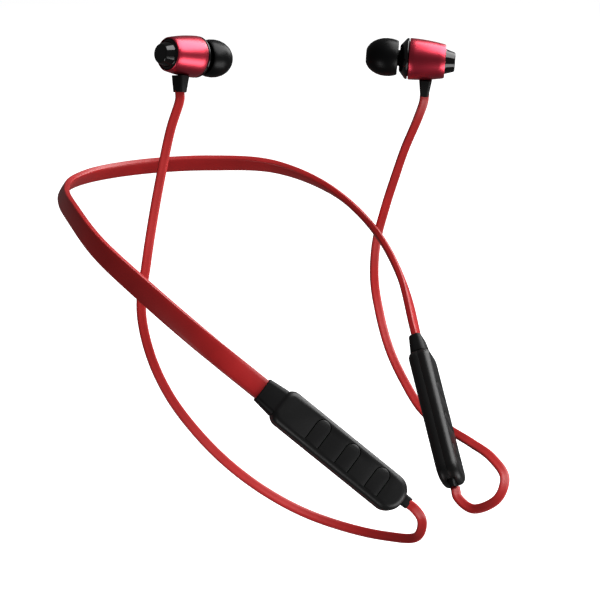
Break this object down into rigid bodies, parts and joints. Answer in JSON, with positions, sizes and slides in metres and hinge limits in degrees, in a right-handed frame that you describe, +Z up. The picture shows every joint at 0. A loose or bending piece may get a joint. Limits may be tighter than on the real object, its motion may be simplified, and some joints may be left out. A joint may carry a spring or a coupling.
{
  "type": "neckband earphones",
  "caption": "Wireless neckband earphones: sprung silicone strap, a control pod with tongue buttons at each end, and in-ear earphones on flat cables.",
  "frame": {"origin": "centre of the strap at the nape of the neck, where the neck holds it", "axes": "+X to the wearer's left, -Y forward, +Z up; the two arms are near mirror images across X = 0"},
  "size_m": [0.1261, 0.1738, 0.1615],
  "materials": {
    "red_silicone": "satin moulded silicone",
    "red_cable": "satin flat cable jacket",
    "red_anodised": "satin red anodised",
    "matte_shell": "fine matte moulding",
    "button": "fine matte moulding",
    "gloss_shell": "polished black",
    "black_rubber": "matte rubber",
    "ear_tip": "satin silicone",
    "steel": "satin",
    "copper": "bright",
    "board": "solder mask",
    "cell_foil": "wrapped foil",
    "lens": "clear"
  },
  "bodies": {
    "neckband": {"strap": "red_silicone", "strap_spring_wire": "steel", "strap_signal_wire": "copper", "right_cable": "red_cable", "left_cable": "red_cable", "right_pod_collar": "black_rubber", "right_pod_front_shell": "matte_shell", "right_pod_back_shell": "matte_shell", "right_board": "board", "right_cable_relief": "black_rubber", "right_switch_1": "steel", "right_switch_2": "steel", "right_switch_3": "steel", "right_barrel": "red_anodised", "right_rear_cap": "gloss_shell", "right_front_housing": "gloss_shell", "right_driver": "steel", "right_diaphragm": "copper", "right_nozzle_mesh": "steel", "right_cable_boot": "black_rubber", "left_pod_collar": "black_rubber", "left_pod_front_shell": "matte_shell", "left_pod_back_shell": "matte_shell", "left_board": "board", "left_cable_relief": "black_rubber", "left_switch_1": "steel", "left_switch_2": "steel", "left_switch_3": "steel", "left_barrel": "red_anodised", "left_rear_cap": "gloss_shell", "left_front_housing": "gloss_shell", "left_driver": "steel", "left_diaphragm": "copper", "left_nozzle_mesh": "steel", "left_cable_boot": "black_rubber", "charging_socket": "steel", "radio_shield": "steel", "status_light": "lens", "microphone": "steel", "battery": "cell_foil", "vibration_motor": "steel"},
    "right_button_1": {"right_button_1": "button"},
    "right_button_2": {"right_button_2": "button"},
    "right_button_3": {"right_button_3": "button"},
    "left_button_1": {"left_button_1": "button"},
    "left_button_2": {"left_button_2": "button"},
    "left_button_3": {"left_button_3": "button"},
    "port_cover": {"port_cover": "black_rubber"},
    "right_ear_tip": {"right_ear_tip": "ear_tip"},
    "left_ear_tip": {"left_ear_tip": "ear_tip"}
  },
  "joints": [
    {"name": "right_button_1_press", "type": "hinge", "parent": "neckband", "child": "right_button_1", "pos_m": [-0.03423, -0.13015, -0.06459], "axis": [-0.4549, 0.6257, 0.6336], "range_deg": [0, 2.5], "stiffness_Nm_per_rad": 0.2},
    {"name": "right_button_2_press", "type": "hinge", "parent": "neckband", "child": "right_button_2", "pos_m": [-0.02863, -0.13785, -0.07238], "axis": [-0.4549, 0.6257, 0.6336], "range_deg": [0, 2.5], "stiffness_Nm_per_rad": 0.2},
    {"name": "right_button_3_press", "type": "hinge", "parent": "neckband", "child": "right_button_3", "pos_m": [-0.02304, -0.14555, -0.08017], "axis": [-0.4549, 0.6257, 0.6336], "range_deg": [0, 2.5], "stiffness_Nm_per_rad": 0.2},
    {"name": "left_button_1_press", "type": "hinge", "parent": "neckband", "child": "left_button_1", "pos_m": [0.03509, -0.13033, -0.06506], "axis": [-0.437, -0.6301, -0.6418], "range_deg": [0, 2.5], "stiffness_Nm_per_rad": 0.2},
    {"name": "left_button_2_press", "type": "hinge", "parent": "neckband", "child": "left_button_2", "pos_m": [0.02971, -0.13808, -0.07295], "axis": [-0.437, -0.6301, -0.6418], "range_deg": [0, 2.5], "stiffness_Nm_per_rad": 0.2},
    {"name": "left_button_3_press", "type": "hinge", "parent": "neckband", "child": "left_button_3", "pos_m": [0.02433, -0.14583, -0.08085], "axis": [-0.437, -0.6301, -0.6418], "range_deg": [0, 2.5], "stiffness_Nm_per_rad": 0.2},
    {"name": "port_cover_swing", "type": "hinge", "parent": "neckband", "child": "port_cover", "pos_m": [0.03879, -0.12052, -0.06226], "axis": [0.5414, -0.7541, 0.3718], "range_deg": [0, 100]},
    {"name": "right_ear_tip_pull", "type": "slide", "parent": "neckband", "child": "right_ear_tip", "axis": [0.9769, -0.1027, -0.1874], "range_m": [0, 0.008]},
    {"name": "left_ear_tip_pull", "type": "slide", "parent": "neckband", "child": "left_ear_tip", "axis": [-0.6047, 0.7937, 0.0663], "range_m": [0, 0.008]}
  ]
}
